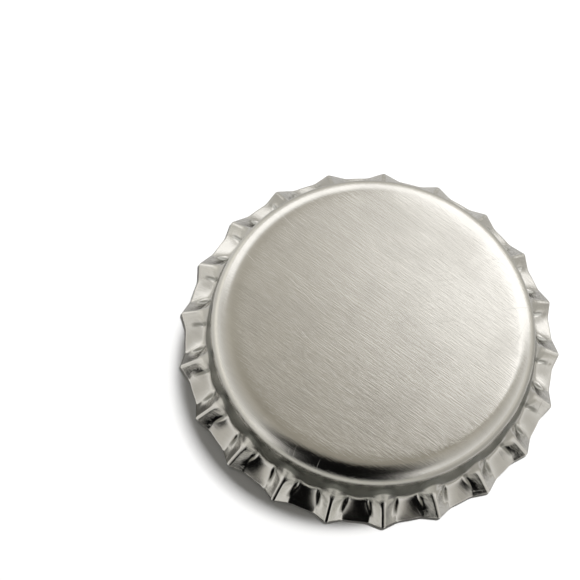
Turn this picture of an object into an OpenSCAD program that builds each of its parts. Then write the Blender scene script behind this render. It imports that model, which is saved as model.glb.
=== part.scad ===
/* [Cap] */
// Diameter over the tips of the ridges
outer_d = 32.1; // [31.5:0.1:34]
// Height from the rim to the middle of the panel
height = 6; // [5:0.1:8]
// Inside diameter of the straight wall, which seats on the mouth of a bottle
seat_d = 26.75; // [25:0.05:28]
// Thickness of the sheet metal
sheet = 0.235; // [0.18:0.005:0.35]
// Outside radius of the domed panel
panel_r = 170; // [90:5:300]
// Outside radius of the shoulder that joins the panel to the wall
shoulder_r = 1.8; // [1.2:0.1:2.4]
// Length of the straight wall under the shoulder
wall_h = 0.8; // [0.4:0.1:1.2]

/* [Fluted skirt] */
// Number of ridges pressed around the skirt
flutes = 21; // [15:1:24]
// Depth of the grooves at the rim, measured in from the tips of the ridges
flute_depth = 0.55; // [0.3:0.05:0.8]
// Height above the rim of the bend where the skirt turns outward
bend_h = 1.5; // [1:0.1:2]
// Distance that the wall leans out on its way down to the bend
bend_out = 0.34; // [0.1:0.02:0.6]
// Outside radius of the bend
bend_r = 0.5; // [0.3:0.1:1]
// Height above the rim at which the crest of a ridge leaves the wall
ridge_h = 2.95; // [2.6:0.05:3.1]
// Height above the rim of the bend in the crest of a ridge
crest_bend_h = 1.7; // [1.4:0.05:2]
// Distance that the crest of a ridge stands out from the straight wall at that bend
crest_bend_out = 0.7; // [0.5:0.05:0.9]
// Width of a ridge, up to the middle of the round in the corner at each side
ridge_w = 2.65; // [2.2:0.05:3.2]
// Outside radius of the crest of a ridge
crest_r = 0.7; // [0.4:0.1:1.1]
// Outside radius of the corner between a ridge and the groove beside it
foot_r = 0.8; // [0.4:0.1:1.2]

/* [Hidden] */
// length by which each form runs past the rim, where the sheet is trimmed flat
trim = 1;
// depth to which a ridge runs into the round form, out of sight
core = 2;
// length by which a run of a ridge goes on out of sight past its end
tuck = 0.5;
// depth by which the side of a ridge cuts into the rounds at its two ends
blend = 0.01;
// depth by which the corner's round runs under the groove
foot_sink = 0.02;
// outside radius of the straight wall
wall_r = seat_d / 2 + sheet;
// middle of the shoulder's round, which touches both the panel and the wall
shoulder_x = wall_r - shoulder_r;
shoulder_z = height - panel_r + sqrt(pow(panel_r - shoulder_r, 2) - pow(shoulder_x, 2));
// lean of the panel where it runs into the shoulder
panel_edge = asin(shoulder_x / (panel_r - shoulder_r));
// corners of the outside section below the shoulder, as radius and height
wall_end = [wall_r, shoulder_z - wall_h];
bend = [wall_r + bend_out, bend_h];
groove_rim = [outer_d / 2 - flute_depth, 0];
// lean from the vertical of the wall above the bend and of the skirt below it
wall_lean = atan2(bend[0] - wall_end[0], wall_end[1] - bend[1]);
skirt_lean = atan2(groove_rim[0] - bend[0], bend[1] - groove_rim[1]);
// radius of the bend, below zero on a skirt so narrow that it turns inward there
turn_r = bend_r * sign(skirt_lean - wall_lean);
turn = bend + turn_r / cos((skirt_lean - wall_lean) / 2) * out((wall_lean + skirt_lean) / 2);

// crest of a ridge, which comes down in two runs from the wall through its bend to its tip
crest_top = [lookup(ridge_h, [[bend_h, bend[0]], [wall_end[1], wall_r]]), ridge_h];
crest_bend = [wall_r + crest_bend_out, crest_bend_h];
crest_tip = [outer_d / 2, 0];
// lean from the vertical of the upper run and of the lower one
upper_lean = atan2(crest_bend[0] - crest_top[0], crest_top[1] - crest_bend[1]);
crest_lean = atan2(crest_tip[0] - crest_bend[0], crest_bend[1] - crest_tip[1]);
// depth of the groove below the crest, and its fall to the side of a ridge as it goes round
groove_depth = max(
    (crest_tip - groove_rim) * out(crest_lean),
    (crest_tip - bend) * out(crest_lean),
    (crest_bend - bend) * out(upper_lean)
);
groove_fall = pow(ridge_w / 2, 2) * cos(min(upper_lean, crest_lean)) / (2 * bend[0]);
// middles of the two rounds in the section across a ridge, whose crest is at the origin
crest = [0, -crest_r];
foot = [ridge_w / 2, foot_r - groove_depth - groove_fall - foot_sink];
// direction square to the side that joins the two rounds
side = out(atan2(foot[1] - crest[1], foot[0]) + acos((crest_r + foot_r - 2 * blend) / norm(foot - crest)));

// unit vector out of a surface that leans by this angle, and unit vector down along it
function out(lean) = [cos(lean), sin(lean)];
function down(lean) = [sin(lean), -cos(lean)];
// arc about a centre, as points from one lean to another
function arc(centre, r, from, to, steps) =
    [for (i = [0 : steps]) centre + r * out(from + (to - from) * i / steps)];
// corner between faces that lean by a and b, moved in by d
function corner_in(p, a, b, d) = p - d / cos((b - a) / 2) * out((a + b) / 2);

// half section of the round form, with its surface moved in by d
module section(d) {
    rim_end = groove_rim + trim * down(skirt_lean) - d * out(skirt_lean);
    polygon(concat(
        [[0, rim_end[1]], rim_end],
        arc(turn, -turn_r - d, skirt_lean, wall_lean, 5),
        [corner_in(wall_end, 0, wall_lean, d)],
        arc([shoulder_x, shoulder_z], shoulder_r - d, 0, 90 - panel_edge, 16),
        arc([0, height - panel_r], panel_r - d, 90 - panel_edge * 7 / 8, 90, 7)
    ));
}

// right half of the section across a ridge, with its surface moved in by d
module half_ridge(d) {
    side_top = crest + (crest_r - d - blend) * side;
    side_end = foot - (foot_r + d - blend) * side;
    difference() {
        union() {
            intersection() {
                translate(crest) circle(r = crest_r - d, $fn = 96);
                translate(crest) square(crest_r);
            }
            polygon([
                [0, side_top[1]], side_top, side_end,
                [foot[0], side_end[1]], [foot[0], -core], [0, -core]
            ]);
        }
        translate(foot) circle(r = foot_r + d, $fn = 96);
    }
}

// run of a ridge from one point of its crest up to another, longer by these two lengths
module run(from, to, below, above, d) {
    translate([from[0], 0, from[1]]) rotate([0, -atan2(from[0] - to[0], to[1] - from[1]), 0])
        rotate([0, 0, -90]) translate([0, 0, -below]) linear_extrude(below + norm(to - from) + above)
            for (turned = [0, 1]) mirror([turned, 0]) half_ridge(d);
}

// one ridge, in its two runs, with its surface moved in by d
module ridge(d) {
    run(crest_tip, crest_bend, trim, tuck, d);
    run(crest_bend, crest_top, tuck, tuck, d);
}

// solid form that the sheet is pressed to, with its surface moved in by d
module form(d) {
    difference() {
        union() {
            rotate_extrude($fn = 168) section(d);
            for (i = [0 : flutes - 1]) rotate([0, 0, i * 360 / flutes]) ridge(d);
        }
        translate([0, 0, -5 * trim]) cylinder(r = outer_d, h = 5 * trim);
    }
}

module cap_shell() {
    color([0.78, 0.77, 0.74])
        difference() {
            form(0);
            form(sheet);
        }
}

cap_shell();
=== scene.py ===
"""A pressed tinplate bottle cap on a pale studio floor: a Blender add-on that is run as a script."""

import math

import bmesh
import bpy
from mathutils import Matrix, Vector


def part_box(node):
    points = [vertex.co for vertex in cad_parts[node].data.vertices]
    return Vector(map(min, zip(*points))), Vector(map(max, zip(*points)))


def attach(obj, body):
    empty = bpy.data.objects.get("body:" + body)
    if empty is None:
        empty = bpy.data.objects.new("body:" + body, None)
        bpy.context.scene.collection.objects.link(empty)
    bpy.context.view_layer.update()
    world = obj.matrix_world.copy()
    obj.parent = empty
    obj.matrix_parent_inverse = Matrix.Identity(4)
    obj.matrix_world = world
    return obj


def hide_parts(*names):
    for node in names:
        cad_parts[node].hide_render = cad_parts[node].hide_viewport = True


bl_info = {
    "name": "Bottle Cap",
    "version": (1, 0, 0),
    "blender": (4, 5, 0),
    "location": "3D View > Sidebar > Bottle Cap",
    "description": "Models a pressed tinplate bottle cap and the studio that it stands in",
    "category": "Add Mesh",
}

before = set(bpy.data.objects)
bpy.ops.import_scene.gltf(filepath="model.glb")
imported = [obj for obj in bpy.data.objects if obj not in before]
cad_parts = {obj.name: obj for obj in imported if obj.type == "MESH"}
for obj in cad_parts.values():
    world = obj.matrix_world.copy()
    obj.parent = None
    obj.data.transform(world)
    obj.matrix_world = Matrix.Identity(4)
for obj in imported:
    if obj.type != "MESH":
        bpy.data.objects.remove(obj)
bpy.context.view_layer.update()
# highest corner of the cap's own box
SHELL_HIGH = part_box("cap_shell")[1]

MM = 0.001
# places closer than this are the same place
SAME = 0.001 * MM


# ---------------------------------------------------------------- sizes and colours


def length(name, description, default, low, high):
    """A length that a user may change."""
    return bpy.props.FloatProperty(
        name=name,
        description=description,
        default=default,
        min=low,
        max=high,
        precision=5,
        subtype="DISTANCE",
        unit="LENGTH",
    )


def angle(name, description, degrees, low=-180, high=180):
    """An angle that a user may change, given here in degrees."""
    return bpy.props.FloatProperty(
        name=name,
        description=description,
        default=math.radians(degrees),
        min=math.radians(low),
        max=math.radians(high),
        subtype="ANGLE",
        unit="ROTATION",
    )


def colour(name, description, default):
    """A colour that a user may change."""
    return bpy.props.FloatVectorProperty(
        name=name,
        description=description,
        default=default,
        min=0.0,
        max=1.0,
        size=3,
        subtype="COLOR",
    )


class CapSizes(bpy.types.PropertyGroup):
    """Sizes of the pressed cap."""

    outer_diameter: length(
        "Outer diameter",
        "Diameter over the tips of the ridges",
        2 * SHELL_HIGH[0],
        30 * MM,
        34 * MM,
    )
    height: length(
        "Height", "Height from the rim to the middle of the panel", SHELL_HIGH[2], 5 * MM, 8 * MM
    )
    seat_diameter: length(
        "Seat diameter", "Inside diameter of the straight wall", 26.75 * MM, 25 * MM, 28 * MM
    )
    sheet: length("Sheet", "Thickness of the sheet metal", 0.235 * MM, 0.18 * MM, 0.35 * MM)
    panel_radius: length(
        "Panel radius", "Outside radius of the domed panel", 170 * MM, 90 * MM, 300 * MM
    )
    shoulder_radius: length(
        "Shoulder radius",
        "Outside radius of the shoulder between the panel and the wall",
        1.8 * MM,
        1.2 * MM,
        2.4 * MM,
    )
    wall_height: length(
        "Wall height", "Length of the straight wall under the shoulder", 0.8 * MM, 0.4 * MM, 1.2 * MM
    )
    ridges: bpy.props.IntProperty(
        name="Ridges", description="Number of ridges pressed around the skirt", default=21, min=15, max=24
    )
    flute_depth: length(
        "Flute depth",
        "Depth of the grooves at the rim, measured in from the tips of the ridges",
        0.55 * MM,
        0.3 * MM,
        0.8 * MM,
    )
    bend_height: length(
        "Bend height",
        "Height above the rim of the bend where the skirt turns outward",
        1.2 * MM,
        1.0 * MM,
        2.0 * MM,
    )
    bend_out: length(
        "Bend lean",
        "Distance that the wall leans out on its way down to the bend",
        0.34 * MM,
        0.1 * MM,
        0.6 * MM,
    )
    ridge_height: length(
        "Ridge height",
        "Height above the rim at which the crest of a ridge leaves the wall",
        2.95 * MM,
        2.0 * MM,
        3.2 * MM,
    )
    crest_bend_height: length(
        "Crest bend height",
        "Height above the rim of the bend in the crest of a ridge",
        1.67 * MM,
        1.0 * MM,
        2.2 * MM,
    )
    crest_bend_radius: length(
        "Crest bend place",
        "Distance from the axis of the bend in the crest of a ridge",
        14.33 * MM,
        13.8 * MM,
        15 * MM,
    )
    ridge_spread: bpy.props.FloatProperty(
        name="Ridge spread",
        description="Share of its width that a ridge gains on its way from the bend up to the wall",
        default=0.8,
        min=0.0,
        max=2.0,
        subtype="FACTOR",
    )
    tongue_hollow: length(
        "Tongue hollow",
        "Radius of the hollow across a groove at its top",
        1.0 * MM,
        0.6 * MM,
        5.0 * MM,
    )
    tongue_width: length(
        "Tongue width",
        "Width between the raised edges of a groove at half height",
        2.3 * MM,
        1.0 * MM,
        3.0 * MM,
    )
    crest_radius: length(
        "Crest radius", "Outside radius of the crest of a ridge", 0.5 * MM, 0.3 * MM, 1.5 * MM
    )
    ridge_slope: angle(
        "Ridge slope", "Angle by which the sides of a ridge fall away from its crest at the rim", 18, 10, 40
    )
    ridge_top_slope: angle(
        "Ridge slope at the bend",
        "Angle by which the sides of a ridge fall away from its crest at the bend",
        29,
        15,
        45,
    )
    fold_radius: length(
        "Fold softness",
        "Distance over which the folds of the skirt blend into each other",
        0.1 * MM,
        0.02 * MM,
        0.4 * MM,
    )


class TinplateFinish(bpy.types.PropertyGroup):
    """Colours and grain of the tinplate."""

    metal: colour("Metal", "Colour of clean tinplate", (0.79, 0.77, 0.725))
    dull: colour("Dull metal", "Colour of the worn or handled metal", (0.62, 0.6, 0.56))
    # painted shade: the colour that darkens the foot of the wall, where it meets the ridges, and the
    # creases beside the ridges
    shade_colour: colour("Painted shade", "Colour of the metal where the wall meets the ridges", (0.13, 0.135, 0.115))
    grain_angle: angle(
        "Grain angle", "Direction of the rolled grain, seen from above and measured from the X axis", -18
    )


class StudioSetup(bpy.types.PropertyGroup):
    """Floor, lamp and lens of the studio."""

    floor: colour("Floor", "Colour of the floor as the camera sees it", (0.86, 0.86, 0.86))
    lamp_power: bpy.props.FloatProperty(
        name="Lamp power",
        description="Power of the lamp that throws the shadow",
        default=4.8,
        min=0.0,
        max=20.0,
        subtype="POWER",
        unit="POWER",
    )
    lamp_width: length("Lamp width", "Width of the square lamp", 115 * MM, 10 * MM, 500 * MM)
    lamp_distance: length(
        "Lamp distance", "Distance of the lamp from the middle of the rim", 600 * MM, 200 * MM, 2000 * MM
    )
    lamp_azimuth: angle("Lamp azimuth", "Side on which the lamp stands, measured from the X axis", 60)
    lamp_elevation: angle("Lamp elevation", "Height of the lamp above the floor, as an angle", 52, 5, 90)
    lens: bpy.props.FloatProperty(
        name="Lens",
        description="Focal length of the camera",
        default=248.28,
        min=20.0,
        max=500.0,
        subtype="DISTANCE_CAMERA",
        unit="CAMERA",
    )


# ---------------------------------------------------------------- form of the cap

# how fast the wall leans out on its way down to the bend, as a power of the way
WALL_CURVE = 1.5
# width of the hollow of a groove at the rim and at the bend, as shares of its width at half height
HOLLOW_AT_RIM = 1.3
HOLLOW_AT_BEND = 0.7
# share of the bend's height above which the corners of a groove fall away, and how steeply they do
CORNER_START = 0.45
CORNER_FALL = 7
# softness of the bend and of a ridge's run-out in the wall, against that of the other folds
BEND_SOFTNESS = 3.5
RUN_OUT_SOFTNESS = 3
# height of the rim's outer corner, against that of a square cut at the tip of a ridge
RIM_LIFT = 1.17
# rounds in which the section of a ridge is found at an angle from its crest
SECTION_ROUNDS = 8


def soft_max(a, b, width):
    """The greater of two values, rounded off where they come within this width of each other."""
    gap = max(width - abs(a - b), 0)
    return max(a, b) + gap * gap / (4 * width)


class Form:
    """Outside surface of the cap, worked out from its sizes."""

    def __init__(self, sizes):
        self.sizes = sizes
        self.tip = sizes.outer_diameter / 2
        self.groove = self.tip - sizes.flute_depth
        self.wall = sizes.seat_diameter / 2 + sizes.sheet
        # the middle of the shoulder's round, which touches both the panel and the wall
        self.shoulder_x = self.wall - sizes.shoulder_radius
        dome = sizes.panel_radius - sizes.shoulder_radius
        self.shoulder_z = sizes.height - sizes.panel_radius + math.sqrt(dome**2 - self.shoulder_x**2)
        self.panel_lean = math.asin(self.shoulder_x / dome)
        self.panel_edge = sizes.panel_radius * math.sin(self.panel_lean)
        self.wall_end = self.shoulder_z - sizes.wall_height
        self.bend = self.wall + sizes.bend_out
        self.crest_lean = math.atan2(self.tip - sizes.crest_bend_radius, sizes.crest_bend_height)
        # the sheet stands on the inner corner of its cut edge, which is lowest in the middle of a groove
        self.rim = sizes.sheet * math.sin(self.crest_lean) * RIM_LIFT

    def ridge_section(self, across, slope):
        """Height of a ridge's section, with sides of this slope, this far to the side of its crest."""
        radius = self.sizes.crest_radius
        edge = radius * math.sin(slope)
        if across < edge:
            return math.sqrt(radius**2 - across**2) - radius
        return radius * (math.cos(slope) - 1) - (across - edge) * math.tan(slope)

    def dome_height(self, radius):
        """Height of the panel at this distance from its middle."""
        panel = self.sizes.panel_radius
        return self.sizes.height - panel + math.sqrt(panel**2 - radius**2)

    def round_radius(self, z, angle, share):
        """Distance from the axis of the wall and the grooves, without the ridges."""
        sizes = self.sizes
        below = max((self.wall_end - z) / (self.wall_end - sizes.bend_height), 0)
        wall = self.wall + sizes.bend_out * below**WALL_CURVE
        # the groove: a tongue of sheet that flares out under the bend, hollow between its raised edges
        flare = self.groove - z * (self.groove - self.bend) / sizes.bend_height
        beside = (math.pi / sizes.ridges - angle) * flare
        edge = sizes.tongue_width / 2 * (HOLLOW_AT_RIM - (HOLLOW_AT_RIM - HOLLOW_AT_BEND) * share)
        lift = share * min(beside, edge) ** 2 / (2 * sizes.tongue_hollow)
        drop = CORNER_FALL * max(share - CORNER_START, 0) ** 3 * max(beside - edge, 0)
        return soft_max(wall, flare + lift - drop, BEND_SOFTNESS * sizes.fold_radius)

    def ridge_radius(self, z, angle, share, above):
        """Distance from the axis of the ridges, which run on under the wall and the grooves."""
        sizes = self.sizes
        # the crest comes down in two straight runs
        upper_lean = (sizes.crest_bend_radius - self.wall) / (sizes.ridge_height - sizes.crest_bend_height)
        upper = self.wall + (sizes.ridge_height - z) * upper_lean
        lower = self.tip - z * math.tan(self.crest_lean)
        crest = soft_max(upper, lower, sizes.fold_radius)
        slope = sizes.ridge_slope + share * (sizes.ridge_top_slope - sizes.ridge_slope)
        ridge = crest
        for _ in range(SECTION_ROUNDS):
            across = abs(ridge * math.sin(angle)) / (1 + sizes.ridge_spread * above)
            section = self.ridge_section(across, slope) / math.cos(self.crest_lean)
            ridge = (crest + section) / math.cos(angle)
        return ridge

    def skirt_radius(self, z, angle):
        """Distance of the skirt from the axis at this height and this angle from the crest of a ridge."""
        sizes = self.sizes
        if z < sizes.bend_height:
            # the outer corner of the cut edge is as far out as the sheet would be on the floor
            z = (z - self.rim) * sizes.bend_height / (sizes.bend_height - self.rim)
        # 0 at the rim and 1 at the bend, where the folds are at their deepest
        share = min(max(z / sizes.bend_height, 0), 1)
        # 0 at the bend and 1 where the crest of a ridge leaves the wall
        above = min(max((z - sizes.bend_height) / (sizes.ridge_height - sizes.bend_height), 0), 1)
        softness = sizes.fold_radius * (1 + (RUN_OUT_SOFTNESS - 1) * min(2 * above, 1))
        return soft_max(
            self.round_radius(z, angle, share), self.ridge_radius(z, angle, share, above), softness
        )


# ---------------------------------------------------------------- modelling by hand

# columns of faces from the crest of one ridge to the crest of the next
COLUMNS_PER_PITCH = 48
# rings of the panel from its edge inwards: share of its radius, and how many columns become one there
PANEL_RINGS = ((0.96, 1), (0.88, 3), (0.72, 2), (0.48, 1), (0.24, 1))
SHOULDER_RINGS = 11
# rings from the wall to the bend of a crest, from there over the bend of a groove, and on to the rim
WALL_RINGS = 13
BEND_RINGS = 9
RIM_RINGS = 5


def even_steps(first, last, steps):
    """Values that lead from the first, which is left out, to the last."""
    return [first + (last - first) * i / steps for i in range(1, steps + 1)]


def start_alone():
    """Goes back to Object Mode with nothing selected, ready for a new piece."""
    if bpy.context.object and bpy.context.object.mode != "OBJECT":
        bpy.ops.object.mode_set(mode="OBJECT")
    bpy.ops.object.select_all(action="DESELECT")


def edited_shape():
    """The mesh that is open in Edit Mode."""
    return bmesh.from_edit_mesh(bpy.context.edit_object.data)


def pick(kind, test):
    """Selects the vertices or edges of the mesh in Edit Mode that pass a test on their place."""
    bpy.ops.mesh.select_all(action="DESELECT")
    bpy.ops.mesh.select_mode(type={"verts": "VERT", "edges": "EDGE"}[kind])
    shape = edited_shape()
    passed = [element for element in getattr(shape, kind) if test(element)]
    if not passed:
        raise RuntimeError(f"no {kind} of {bpy.context.edit_object.name} pass the test")
    for element in passed:
        element.select = True
    shape.select_flush_mode()
    bmesh.update_edit_mesh(bpy.context.edit_object.data)


def select_only(indices):
    """Selects these vertices of the mesh in Edit Mode and nothing else."""
    bpy.ops.mesh.select_all(action="DESELECT")
    shape = edited_shape()
    shape.verts.ensure_lookup_table()
    for index in indices:
        shape.verts[index].select = True
    shape.select_flush_mode()
    bmesh.update_edit_mesh(bpy.context.edit_object.data)


def on_ring(z):
    """Test of whether a vertex lies on the ring at this height."""
    return lambda vertex: abs(vertex.co.z - z) < SAME


def column_of(place, step):
    """Number of columns by which a place is turned from the X axis, with its fraction."""
    return math.atan2(place.y, place.x) / step


def column_groups(step):
    """Selected vertices in Edit Mode, in groups by their number of columns from the nearest crest."""
    groups = [[] for _ in range(COLUMNS_PER_PITCH // 2 + 1)]
    for vertex in edited_shape().verts:
        if vertex.select:
            column = round(column_of(vertex.co, step)) % COLUMNS_PER_PITCH
            groups[min(column, COLUMNS_PER_PITCH - column)].append(vertex.index)
    return groups


def scale_round_axis(factor):
    """Scales the selection towards or away from the upright axis."""
    bpy.ops.transform.resize(value=(factor, factor, 1), center_override=(0, 0, 0))


def extrude_ring(radius, z, to_radius, to_z):
    """Extrudes the selected ring and brings the new one to its radius and height."""
    bpy.ops.mesh.extrude_region_move(TRANSFORM_OT_translate={"value": (0, 0, to_z - z)})
    scale_round_axis(to_radius / radius)


def apply_modifier(piece, kind, **values):
    """Adds a modifier with these values to the piece and applies it."""
    modifier = piece.modifiers.new(kind.title(), kind)
    for name, value in values.items():
        setattr(modifier, name, value)
    bpy.ops.object.modifier_apply(modifier=modifier.name)


class CAP_OT_add_shell(bpy.types.Operator):
    """Model the pressed shell: panel, shoulder, wall and the skirt with its ridges"""

    bl_idname = "cap.add_shell"
    bl_label = "Add Shell"
    bl_options = {"REGISTER", "UNDO"}

    def execute(self, context):
        sizes = context.scene.cap_sizes
        form = Form(sizes)
        columns = sizes.ridges * COLUMNS_PER_PITCH
        start_alone()
        bpy.ops.mesh.primitive_circle_add(
            vertices=columns,
            radius=form.panel_edge,
            fill_type="NOTHING",
            location=(0, 0, form.dome_height(form.panel_edge)),
        )
        shell = context.object
        shell.name = shell.data.name = "pressed_shell"
        bpy.ops.object.transform_apply(location=True, rotation=True, scale=True)
        bpy.ops.object.mode_set(mode="EDIT")
        self.close_panel(form, columns)
        self.draw_skirt(form, columns)
        bpy.ops.mesh.select_all(action="SELECT")
        bpy.ops.mesh.remove_doubles(threshold=SAME)
        bpy.ops.mesh.normals_make_consistent(inside=False)
        bpy.ops.object.mode_set(mode="OBJECT")
        # the open sheet may have turned over as a whole
        if shell.data.polygons[0].normal.z < 0:
            shell.data.flip_normals()
        self.give_thickness(shell, sizes)
        bpy.ops.object.shade_smooth()
        shell.data.materials.append(tinplate(context.scene.cap_finish, form))
        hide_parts("cap_shell")
        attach(shell, "root")
        return {"FINISHED"}

    def close_panel(self, form, columns):
        """Draws the first ring in over the dome, thinning out its columns, and closes it in the middle."""
        bpy.ops.mesh.select_all(action="SELECT")
        radius, z = form.panel_edge, form.dome_height(form.panel_edge)
        for share, fewer in PANEL_RINGS:
            to_radius = form.panel_edge * share
            to_z = form.dome_height(to_radius)
            extrude_ring(radius, z, to_radius, to_z)
            radius, z = to_radius, to_z
            if fewer > 1:
                self.merge_columns(columns, fewer, radius, z)
                columns //= fewer
        extrude_ring(radius, z, radius / 2, form.sizes.height)
        bpy.ops.mesh.merge(type="CENTER")

    def merge_columns(self, columns, fewer, radius, z):
        """Merges so many neighbours on a ring into one, all round, and brings it back to its radius."""
        step = 2 * math.pi / columns
        lies_here = on_ring(z)

        def joins_neighbours(edge):
            middle = (edge.verts[0].co + edge.verts[1].co) / 2
            gap = round(column_of(middle, step) - 0.5)
            return all(lies_here(vertex) for vertex in edge.verts) and gap % fewer != fewer - 1

        pick("edges", joins_neighbours)
        bpy.ops.mesh.merge(type="COLLAPSE")
        pick("verts", lies_here)
        merged = next(vertex for vertex in edited_shape().verts if vertex.select)
        scale_round_axis(radius / merged.co.xy.length)

    def draw_skirt(self, form, columns):
        """Draws the first ring out and down over the shoulder and wall, and presses the ridges."""
        sizes = form.sizes
        radius, z = form.panel_edge, form.dome_height(form.panel_edge)
        pick("verts", on_ring(z))
        for lean in even_steps(math.pi / 2 - form.panel_lean, 0, SHOULDER_RINGS):
            to_radius = form.shoulder_x + sizes.shoulder_radius * math.cos(lean)
            to_z = form.shoulder_z + sizes.shoulder_radius * math.sin(lean)
            extrude_ring(radius, z, to_radius, to_z)
            radius, z = to_radius, to_z
        # the wall is round down to a little above its end
        round_end = form.wall_end + 0.3 * MM
        extrude_ring(radius, z, radius, round_end)
        # from here on the skirt runs nearly straight to the rim and needs fewer rings
        curved_end = sizes.bend_height - 0.6 * MM
        levels = even_steps(round_end, sizes.crest_bend_height, WALL_RINGS)
        levels += even_steps(sizes.crest_bend_height, curved_end, BEND_RINGS)
        levels += even_steps(curved_end, form.rim, RIM_RINGS)
        step = 2 * math.pi / columns
        z = round_end
        reach = [radius] * (COLUMNS_PER_PITCH // 2 + 1)
        for to_z in levels:
            bpy.ops.mesh.extrude_region_move(TRANSFORM_OT_translate={"value": (0, 0, to_z - z)})
            groups = column_groups(step)
            for column, before in enumerate(reach):
                reach[column] = form.skirt_radius(to_z, column * step)
                select_only(groups[column])
                scale_round_axis(reach[column] / before)
            select_only([index for group in groups for index in group])
            z = to_z

    def give_thickness(self, shell, sizes):
        """Thickens the outside surface inwards to the sheet and rounds its cut edge."""
        apply_modifier(
            shell,
            "SOLIDIFY",
            thickness=sizes.sheet,
            offset=-1,
            use_even_offset=True,
            use_quality_normals=True,
        )
        apply_modifier(
            shell,
            "BEVEL",
            width=sizes.sheet / 8,
            segments=2,
            limit_method="ANGLE",
            angle_limit=math.radians(60),
        )


# ---------------------------------------------------------------- shader nodes


def feed(tree, socket, value):
    """Links a socket to an input, or sets the input to a value."""
    if isinstance(value, bpy.types.NodeSocket):
        tree.links.new(value, socket)
    else:
        socket.default_value = value


def add_node(tree, kind, **inputs):
    """Adds a node, feeds the inputs that are named, and returns it."""
    node = tree.nodes.new(kind)
    for name, value in inputs.items():
        feed(tree, node.inputs[name.replace("_", " ")], value)
    return node


def join(tree, kind, operation, *values):
    """Adds a Math or Vector Math node with these values or sockets as its inputs and returns its output."""
    node = tree.nodes.new(kind)
    node.operation = operation
    for socket, value in zip(node.inputs, values):
        feed(tree, socket, value)
    return next(output for output in node.outputs if output.enabled)


def maths(tree, operation, *values):
    """Result of a Math node."""
    return join(tree, "ShaderNodeMath", operation, *values)


def vectors(tree, operation, *values):
    """Result of a Vector Math node."""
    return join(tree, "ShaderNodeVectorMath", operation, *values)


def scaled(tree, vector, factor):
    """Vector times a number or a socket."""
    result = vectors(tree, "SCALE", vector)
    feed(tree, result.node.inputs["Scale"], factor)
    return result


def product(tree, first, *others):
    """Product of these numbers or sockets."""
    for other in others:
        first = maths(tree, "MULTIPLY", first, other)
    return first


def add_shares(tree, base, *parts):
    """Adds to the base each mask times its share."""
    for mask, share in parts:
        base = maths(tree, "ADD", base, maths(tree, "MULTIPLY", mask, share))
    return base


def step_between(tree, value, low, high):
    """Rises smoothly from 0 to 1 as the value goes from low to high."""
    node = tree.nodes.new("ShaderNodeMapRange")
    node.interpolation_type = "SMOOTHSTEP"
    feed(tree, node.inputs["Value"], value)
    feed(tree, node.inputs["From Min"], low)
    feed(tree, node.inputs["From Max"], high)
    return node.outputs["Result"]


def band_between(tree, value, start, full, fading, end):
    """Rises smoothly from 0 to 1 between the first two limits and falls again between the last two."""
    return product(tree, step_between(tree, value, start, full), step_between(tree, value, end, fading))


def noise(tree, place, scale, detail, roughness=0.5):
    """Height of a noise at this place."""
    return add_node(
        tree, "ShaderNodeTexNoise", Vector=place, Scale=scale, Detail=detail, Roughness=roughness
    ).outputs["Fac"]


def blend_colours(tree, share, first, second):
    """Goes from the first colour to the second as the share goes from 0 to 1."""
    node = tree.nodes.new("ShaderNodeMix")
    node.data_type = "RGBA"
    feed(tree, node.inputs["Factor"], share)
    # the sockets of its colours have the same names as those of its numbers, and come after them
    for socket, value in ((node.inputs[6], first), (node.inputs[7], second)):
        feed(tree, socket, value if isinstance(value, bpy.types.NodeSocket) else (*value, 1))
    return node.outputs[2]


def place_in_mm(tree):
    """Place on the object, in millimetres."""
    return scaled(tree, tree.nodes.new("ShaderNodeTexCoord").outputs["Object"], 1 / MM)


def level_part(tree, vector):
    """The vector without its height."""
    return vectors(tree, "MULTIPLY", vector, (1, 1, 0))


def direction(azimuth, elevation=0):
    """Unit vector towards this azimuth, turned from the X axis, and this elevation, in degrees."""
    a, e = math.radians(azimuth), math.radians(elevation)
    return Vector((math.cos(a) * math.cos(e), math.sin(a) * math.cos(e), math.sin(e)))


def facing(tree, way, towards, none, full):
    """Mask of the ways within the angle full of a direction, fading out at the angle none, in degrees."""
    closeness = vectors(tree, "DOT_PRODUCT", way, towards)
    return step_between(tree, closeness, math.cos(math.radians(none)), math.cos(math.radians(full)))


def new_group(name, inputs, outputs):
    """Makes a shader node group with these named sockets and returns its tree and its two ends."""
    tree = bpy.data.node_groups.new(name, "ShaderNodeTree")
    for socket, value in inputs.items():
        made = tree.interface.new_socket(socket, in_out="INPUT", socket_type="NodeSocketFloat")
        made.default_value = value
    for socket in outputs:
        tree.interface.new_socket(socket, in_out="OUTPUT", socket_type="NodeSocketFloat")
    return tree, tree.nodes.new("NodeGroupInput"), tree.nodes.new("NodeGroupOutput")


def place_group(tree, group, **values):
    """Adds a node group, feeds the inputs that are named, and returns its node."""
    node = tree.nodes.new("ShaderNodeGroup")
    node.node_tree = group
    for name, value in values.items():
        feed(tree, node.inputs[name.replace("_", " ")], value)
    return node


# ---------------------------------------------------------------- effects

# layers of the grain: length and width of its lines against the group's values, and detail of the noise
GRAIN_LAYERS = ((1.0, 1.0, 2.0), (0.5, 0.45, 2.0), (3.0, 5.0, 1.0))
# distance between the layers in the noise
LAYER_GAP = 7.3
# length, width and depth of a hairline in millimetres, and the ways that they run, in radians
HAIRLINE = (9, 0.09, 3)
HAIRLINE_ANGLES = (0.5, 1.45, 2.6)
# azimuth of the camera's place, which is the room's dark side
CAMERA_SIDE = -84


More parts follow.
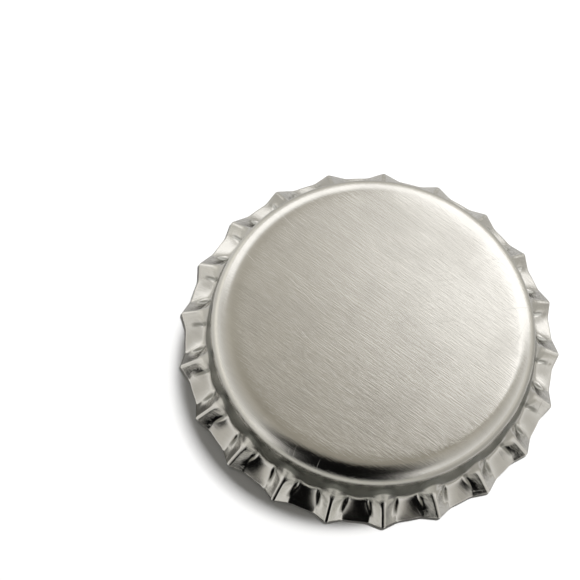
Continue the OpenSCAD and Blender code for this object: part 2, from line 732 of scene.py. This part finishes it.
def rolled_grain():
    """Fine straight lines left in the sheet by the rolling mill, drawn down with it over the shoulder."""
    tree, given, out = new_group(
        "Rolled Grain",
        {"Angle": 0.0, "Line Length": 2.0, "Line Width": 0.1, "Height": 6.0},
        ("Lines", "Bands"),
    )
    place = place_in_mm(tree)
    height = add_node(tree, "ShaderNodeSeparateXYZ", Vector=place).outputs["Z"]
    flat = level_part(tree, place)
    # a place on the skirt lay further out in the flat sheet, by as much as it lies lower now
    radius = maths(tree, "MAXIMUM", vectors(tree, "LENGTH", flat), 4.0)
    drop = maths(tree, "SUBTRACT", given.outputs["Height"], height)
    stretch = maths(tree, "ADD", maths(tree, "DIVIDE", drop, radius), 1.0)
    turned = add_node(tree, "ShaderNodeVectorRotate", Vector=scaled(tree, flat, stretch))
    turned.rotation_type = "Z_AXIS"
    feed(tree, turned.inputs["Angle"], product(tree, given.outputs["Angle"], -1.0))
    parts = add_node(tree, "ShaderNodeSeparateXYZ", Vector=turned.outputs[0])
    layers = []
    for number, (longer, wider, detail) in enumerate(GRAIN_LAYERS):
        line_length = product(tree, given.outputs["Line Length"], longer)
        line_width = product(tree, given.outputs["Line Width"], wider)
        spot = add_node(
            tree,
            "ShaderNodeCombineXYZ",
            X=maths(tree, "DIVIDE", parts.outputs["X"], line_length),
            Y=maths(tree, "DIVIDE", parts.outputs["Y"], line_width),
            Z=LAYER_GAP * number,
        )
        layers.append(noise(tree, spot.outputs[0], 1.0, detail, 0.6))
    coarse, fine, bands = layers
    feed(tree, out.inputs["Lines"], add_shares(tree, product(tree, coarse, 0.6), (fine, 0.4)))
    feed(tree, out.inputs["Bands"], bands)
    return tree


def handling():
    """Faint smudges, a mottled bloom in the tin and a few hairline scratches."""
    tree, given, out = new_group(
        "Handling", {"Smudge Size": 6.0, "Scratches": 0.5}, ("Smudges", "Mottle", "Hairlines")
    )
    place = place_in_mm(tree)
    smudge = noise(tree, place, maths(tree, "DIVIDE", 1.0, given.outputs["Smudge Size"]), 3.0, 0.55)
    feed(tree, out.inputs["Smudges"], step_between(tree, smudge, 0.42, 0.68))
    feed(tree, out.inputs["Mottle"], noise(tree, place, 2.2, 4.0, 0.6))
    most = 0.0
    for turn in HAIRLINE_ANGLES:
        mapping = tree.nodes.new("ShaderNodeMapping")
        mapping.vector_type = "TEXTURE"
        feed(tree, mapping.inputs["Vector"], place)
        feed(tree, mapping.inputs["Rotation"], (0, 0, turn))
        feed(tree, mapping.inputs["Scale"], HAIRLINE)
        line = noise(tree, mapping.outputs[0], 1.0, 0.0)
        most = maths(tree, "MAXIMUM", most, step_between(tree, line, 0.8, 0.86))
    feed(tree, out.inputs["Hairlines"], product(tree, most, given.outputs["Scratches"]))
    return tree


def wear_and_shade_masks():
    """Masks of the crests, the grooves, the panel and the foot of the wall, where the finish differs; the
    mask of the wall's foot carries painted shade.
    """
    tree, given, out = new_group(
        "Edge Wear",
        {"Ridges": 21.0, "Skirt Height": 2.4, "Panel Radius": 12.0, "Wall Top": 4.2, "Wall Radius": 13.8},
        ("Crests", "Grooves", "Panel", "Wall"),
    )
    place = place_in_mm(tree)
    split = add_node(tree, "ShaderNodeSeparateXYZ", Vector=place)
    radius = vectors(tree, "LENGTH", level_part(tree, place))
    # 1 on the crests and -1 in the middle of the grooves
    turn = maths(tree, "ARCTAN2", split.outputs["Y"], split.outputs["X"])
    wave = maths(tree, "COSINE", product(tree, turn, given.outputs["Ridges"]))
    below = step_between(tree, split.outputs["Z"], given.outputs["Skirt Height"], 0.0)
    broken = add_shares(tree, wave, (noise(tree, place, 1.6, 3.0), 0.1))
    feed(tree, out.inputs["Crests"], product(tree, step_between(tree, broken, 0.9, 1.05), below))
    groove = step_between(tree, product(tree, wave, -1.0), -0.2, 0.9)
    feed(tree, out.inputs["Grooves"], product(tree, groove, below))
    panel_end = maths(tree, "SUBTRACT", given.outputs["Panel Radius"], 1.2)
    feed(tree, out.inputs["Panel"], step_between(tree, radius, given.outputs["Panel Radius"], panel_end))
    # from the wall's top down, and out to where the sheet turns into the ridges and grooves; this mask
    # places painted shade there
    wall_foot = maths(tree, "SUBTRACT", given.outputs["Wall Top"], 0.8)
    wall_side = maths(tree, "ADD", given.outputs["Wall Radius"], 0.12)
    wall = product(
        tree,
        step_between(tree, split.outputs["Z"], given.outputs["Wall Top"], wall_foot),
        step_between(tree, radius, wall_side, given.outputs["Wall Radius"]),
    )
    feed(tree, out.inputs["Wall"], wall)
    return tree


def pressed_folds():
    """Normal of the surface, turned aside on both sides of the crests, and a mask of painted shade in the
    creases beside them.
    """
    tree, given, out = new_group(
        "Pressed Folds",
        {"Ridges": 21.0, "Turn": 0.48, "Bend Height": 1.2, "Side Width": 1.15},
        ("Creases",),
    )
    tree.interface.new_socket("Normal", in_out="OUTPUT", socket_type="NodeSocketVector")
    place = place_in_mm(tree)
    split = add_node(tree, "ShaderNodeSeparateXYZ", Vector=place)
    outward = level_part(tree, place)
    turn = maths(tree, "ARCTAN2", split.outputs["Y"], split.outputs["X"])
    half_pitch = maths(tree, "DIVIDE", math.pi, given.outputs["Ridges"])
    # distance from the crest of the nearest ridge, below 0 on its clockwise side
    across = maths(tree, "WRAP", turn, half_pitch, product(tree, half_pitch, -1.0))
    across = product(tree, across, vectors(tree, "LENGTH", outward))
    from_crest = maths(tree, "ABSOLUTE", across)
    # 0 at the rim and 1 at the bend
    share = maths(tree, "DIVIDE", split.outputs["Z"], given.outputs["Bend Height"])
    # painted shade in the crease between the side of a ridge and the raised edge of the groove
    crease_shade = product(
        tree,
        band_between(tree, from_crest, 0.75, 0.95, 1.1, 1.3),
        band_between(tree, share, 0.4, 0.8, 1.2, 1.5),
    )
    feed(tree, out.inputs["Creases"], crease_shade)
    # the flat side of a ridge, from beside its crest to its foot, which comes closer towards the bend
    foot = add_shares(tree, given.outputs["Side Width"], (share, -0.4))
    side = product(
        tree,
        step_between(tree, from_crest, 0.08, 0.2),
        step_between(tree, from_crest, maths(tree, "ADD", foot, 0.25), foot),
        step_between(tree, share, 1.4, 0.8),
    )
    amount = product(tree, side, maths(tree, "SIGN", across), given.outputs["Turn"])
    aside = vectors(tree, "CROSS_PRODUCT", (0, 0, 1), vectors(tree, "NORMALIZE", outward))
    aside = add_node(tree, "ShaderNodeVectorTransform", Vector=scaled(tree, aside, amount))
    aside.vector_type = "VECTOR"
    aside.convert_from = "OBJECT"
    aside.convert_to = "WORLD"
    normal = tree.nodes.new("ShaderNodeNewGeometry").outputs["Normal"]
    normal = vectors(tree, "NORMALIZE", vectors(tree, "ADD", normal, aside.outputs[0]))
    feed(tree, out.inputs["Normal"], normal)
    return tree


def camera_shade():
    """Mask of the places that lie on the camera's side of the cap, which it keeps in the dark."""
    tree, given, out = new_group("Camera Shade", {}, ("Shade",))
    tree.interface.new_socket("Place", in_out="INPUT", socket_type="NodeSocketVector")
    level = vectors(tree, "NORMALIZE", level_part(tree, given.outputs["Place"]))
    feed(tree, out.inputs["Shade"], facing(tree, level, direction(CAMERA_SIDE), none=42, full=18))
    return tree


# ---------------------------------------------------------------- materials


def tinplate(finish, form):
    """Bright tinplate with rolled grain, faint handling marks and rubbed edges."""
    material = bpy.data.materials.new("bright_tinplate")
    material.use_nodes = True
    tree = material.node_tree
    shader = tree.nodes["Principled BSDF"]
    shader.inputs["Metallic"].default_value = 1
    ridges = form.sizes.ridges
    grain = place_group(
        tree, rolled_grain(), Angle=finish.grain_angle, Height=form.sizes.height / MM
    ).outputs
    marks = place_group(tree, handling()).outputs
    wear_and_shade = place_group(tree, wear_and_shade_masks(), Ridges=ridges).outputs
    folds = place_group(
        tree, pressed_folds(), Ridges=ridges, Bend_Height=form.sizes.bend_height / MM
    ).outputs
    # colour: clean tin, dulled by smudges and by the grain, darker in the grooves, and with painted shade
    # under the wall, where it meets the ridges, and in the creases beside the ridges
    dulled = add_shares(
        tree,
        product(tree, marks["Smudges"], 0.35),
        (wear_and_shade["Grooves"], 0.25),
        (grain["Bands"], 0.3),
        (grain["Lines"], 0.3),
    )
    # painted shade: the larger of the crease and wall masks, which carries the shade colour
    painted_shade = maths(tree, "MAXIMUM", product(tree, folds["Creases"], 0.6), product(tree, wear_and_shade["Wall"], 0.8))
    worn = blend_colours(tree, dulled, finish.metal, finish.dull)
    feed(tree, shader.inputs["Base Color"], blend_colours(tree, painted_shade, worn, finish.shade_colour))
    # roughness: satin from the grain and on the panel, duller where it was touched, brighter on the crests
    rough = add_shares(
        tree,
        0.06,
        (grain["Lines"], 0.1),
        (marks["Smudges"], 0.03),
        (marks["Mottle"], 0.03),
        (wear_and_shade["Crests"], -0.02),
        (wear_and_shade["Panel"], 0.09),
        (wear_and_shade["Wall"], 0.16),
    )
    feed(tree, shader.inputs["Roughness"], rough)
    # relief: the grain, with the hairlines cut into it, on the turned normal of the folds
    relief = add_shares(tree, grain["Lines"], (marks["Hairlines"], -0.5))
    bump = add_node(
        tree, "ShaderNodeBump", Height=relief, Strength=0.5, Distance=0.03 * MM, Normal=folds["Normal"]
    )
    feed(tree, shader.inputs["Normal"], bump.outputs["Normal"])
    return material


def pale_floor(studio, shade_group):
    """Pale matt floor, mirrored in the cap with painted shade: darker above all close to it, on the
    camera's side and on the right.
    """
    material = bpy.data.materials.new("pale_floor")
    material.use_nodes = True
    tree = material.node_tree
    shader = tree.nodes["Principled BSDF"]
    shader.inputs["Roughness"].default_value = 0.9
    shader.inputs["Specular IOR Level"].default_value = 0
    place = tree.nodes.new("ShaderNodeTexCoord").outputs["Object"]
    # painted shade, seen only in the cap: a painted contact shadow under the rim, a darker right side and
    # the camera's shade further out
    away = vectors(tree, "LENGTH", place)
    under_rim = step_between(tree, away, 17.4 * MM, 16 * MM)
    far = step_between(tree, away, 18 * MM, 34 * MM)
    left = facing(tree, vectors(tree, "NORMALIZE", place), direction(-140), none=90, full=45.57)
    shade = place_group(tree, shade_group, Place=place).outputs["Shade"]
    near_floor = blend_colours(tree, left, (0.34, 0.335, 0.315), (0.5, 0.495, 0.47))
    far_floor = blend_colours(tree, left, (0.52, 0.51, 0.48), (0.84, 0.83, 0.79))
    open_floor = blend_colours(tree, far, near_floor, far_floor)
    shaded_floor = blend_colours(tree, far, (0.5, 0.5, 0.47), (0.1, 0.1, 0.1))
    mirrored = blend_colours(tree, shade, open_floor, shaded_floor)
    rim_floor = blend_colours(tree, shade, (0.5, 0.5, 0.5), (0.1, 0.1, 0.1))
    mirrored = blend_colours(tree, under_rim, mirrored, rim_floor)
    # the camera sees the plain floor colour, the cap mirrors the painted shade
    seen = tree.nodes.new("ShaderNodeLightPath").outputs["Is Camera Ray"]
    feed(tree, shader.inputs["Base Color"], blend_colours(tree, seen, mirrored, studio.floor))
    return material


# ---------------------------------------------------------------- stage

# place of the camera in millimetres and its turn about X, Y and Z in degrees
CAMERA_PLACE = (7.571, -125.079, 312.883)
CAMERA_TURN = (21.958, -4.424, 17.74)
FLOOR_WIDTH = 3
# distance from the cap's axis to the front edge of the floor, just outside the camera's view
FLOOR_FRONT = 32 * MM
# the floor lies this far below the rim, so that the two never share a plane
FLOOR_GAP = 0.02 * MM
# colours of the room by the sine of the height, from the foot of the walls to the ceiling
ROOM_COLOURS = (
    (0.0, (0.85, 0.845, 0.83)),
    (0.5, (0.6, 0.59, 0.56)),
    (0.85, (0.51, 0.49, 0.44)),
    (0.93, (0.45, 0.43, 0.375)),
    (0.98, (0.34, 0.32, 0.275)),
)
LIT_WALL = (1.5, 1.5, 1.5)
DARK_SIDE = (0.004, 0.004, 0.004)
WHITE = (1, 1, 1)


class CAP_OT_add_stage(bpy.types.Operator):
    """Set out the floor, the room, the lamp and the camera"""

    bl_idname = "cap.add_stage"
    bl_label = "Add Stage"
    bl_options = {"REGISTER", "UNDO"}

    def execute(self, context):
        scene = context.scene
        shade_group = camera_shade()
        self.add_floor(scene.cap_studio, shade_group)
        scene.world = studio_world(shade_group)
        self.add_lamp(scene)
        self.add_camera(scene)
        scene.view_settings.view_transform = "Standard"
        return {"FINISHED"}

    def add_floor(self, studio, shade_group):
        """Adds a wide pale floor whose front edge lies just outside the camera's view."""
        start_alone()
        bpy.ops.mesh.primitive_plane_add(
            size=FLOOR_WIDTH, location=(0, FLOOR_WIDTH / 2 - FLOOR_FRONT, -FLOOR_GAP)
        )
        floor = bpy.context.object
        floor.name = "floor"
        bpy.ops.object.transform_apply(location=True, rotation=True, scale=True)
        floor.data.materials.append(pale_floor(studio, shade_group))

    def add_lamp(self, scene):
        """Adds the square lamp that throws the cap's shadow and isn't mirrored in it."""
        studio = scene.cap_studio
        light = bpy.data.lights.new("softbox", "AREA")
        light.shape = "SQUARE"
        light.size = studio.lamp_width
        light.energy = studio.lamp_power
        lamp = bpy.data.objects.new("softbox", light)
        away = direction(math.degrees(studio.lamp_azimuth), math.degrees(studio.lamp_elevation))
        lamp.location = away * studio.lamp_distance
        lamp.rotation_euler = away.to_track_quat("Z", "Y").to_euler()
        lamp.visible_glossy = False
        scene.collection.objects.link(lamp)

    def add_camera(self, scene):
        """Adds the camera, which looks down on the cap from the front."""
        data = bpy.data.cameras.new("camera")
        data.lens = scene.cap_studio.lens
        data.sensor_width = 36
        data.clip_start = 0.01
        camera = bpy.data.objects.new("camera", data)
        camera.location = Vector(CAMERA_PLACE) * MM
        camera.rotation_euler = [math.radians(turn) for turn in CAMERA_TURN]
        scene.collection.objects.link(camera)
        scene.camera = camera


def studio_world(shade_group):
    """Room with white walls at the back and right, a duller ceiling and the dark of the camera's place."""
    world = bpy.data.worlds.new("studio")
    world.use_nodes = True
    tree = world.node_tree
    background = tree.nodes["Background"]
    way = tree.nodes.new("ShaderNodeTexCoord").outputs["Generated"]
    up = add_node(tree, "ShaderNodeSeparateXYZ", Vector=way).outputs["Z"]
    level = vectors(tree, "NORMALIZE", level_part(tree, way))

    def height(none, full):
        """Mask of the ways at the height full, fading out at the height none, in degrees."""
        return step_between(tree, up, math.sin(math.radians(none)), math.sin(math.radians(full)))

    def side(azimuth, none, full):
        """Mask of the ways to this side of the room."""
        return facing(tree, level, direction(azimuth), none, full)

    ceiling = add_node(tree, "ShaderNodeValToRGB", Fac=up)
    elements = ceiling.color_ramp.elements
    while len(elements) < len(ROOM_COLOURS):
        elements.new(1)
    for element, (position, shade) in zip(elements, ROOM_COLOURS):
        element.position = position
        element.color = (*shade, 1)
    right = facing(tree, way, direction(67), none=73.74, full=62.61)
    right = product(tree, right, side(66, none=36, full=22))
    back = product(tree, side(112, none=56, full=36), height(none=52, full=28), 0.8)
    lit = maths(tree, "MAXIMUM", right, back)
    room = blend_colours(tree, lit, ceiling.outputs["Color"], LIT_WALL)
    shaded = place_group(tree, shade_group, Place=way).outputs["Shade"]
    dark = product(tree, side(CAMERA_SIDE, none=58, full=24), height(none=8, full=30))
    dark = product(tree, maths(tree, "MAXIMUM", dark, shaded), height(none=88, full=62))
    room = blend_colours(tree, dark, room, DARK_SIDE)
    path = tree.nodes.new("ShaderNodeLightPath").outputs
    feed(tree, background.inputs["Color"], blend_colours(tree, path["Is Camera Ray"], room, WHITE))
    # the room lights matt surfaces less than the lamp does, so that the shadow stays clear
    feed(tree, background.inputs["Strength"], add_shares(tree, 1.0, (path["Is Diffuse Ray"], -0.6)))
    return world


# ---------------------------------------------------------------- add-on


class CAP_PT_panel(bpy.types.Panel):
    """Bottle cap tools"""

    bl_idname = "CAP_PT_panel"
    bl_label = "Bottle Cap"
    bl_space_type = "VIEW_3D"
    bl_region_type = "UI"
    bl_category = "Bottle Cap"

    def draw(self, context):
        """Lists the sizes, colours and lights that a user may change, and the operators."""
        scene = context.scene
        for group in (scene.cap_sizes, scene.cap_finish, scene.cap_studio):
            for name in group.bl_rna.properties.keys():
                if name not in ("rna_type", "name"):
                    self.layout.prop(group, name)
        self.layout.operator("cap.add_shell")
        self.layout.operator("cap.add_stage")


GROUPS = {"cap_sizes": CapSizes, "cap_finish": TinplateFinish, "cap_studio": StudioSetup}
CLASSES = (*GROUPS.values(), CAP_OT_add_shell, CAP_OT_add_stage, CAP_PT_panel)


def register():
    """Registers the classes and gives each scene its sizes, finish and studio."""
    for cls in CLASSES:
        bpy.utils.register_class(cls)
    for name, group in GROUPS.items():
        setattr(bpy.types.Scene, name, bpy.props.PointerProperty(type=group))


def unregister():
    """Takes back what register gave."""
    for name in GROUPS:
        delattr(bpy.types.Scene, name)
    for cls in reversed(CLASSES):
        bpy.utils.unregister_class(cls)


def main():
    """Builds the cap and its stage."""
    register()
    bpy.ops.cap.add_shell()
    bpy.ops.cap.add_stage()


if __name__ == "__main__":
    main()
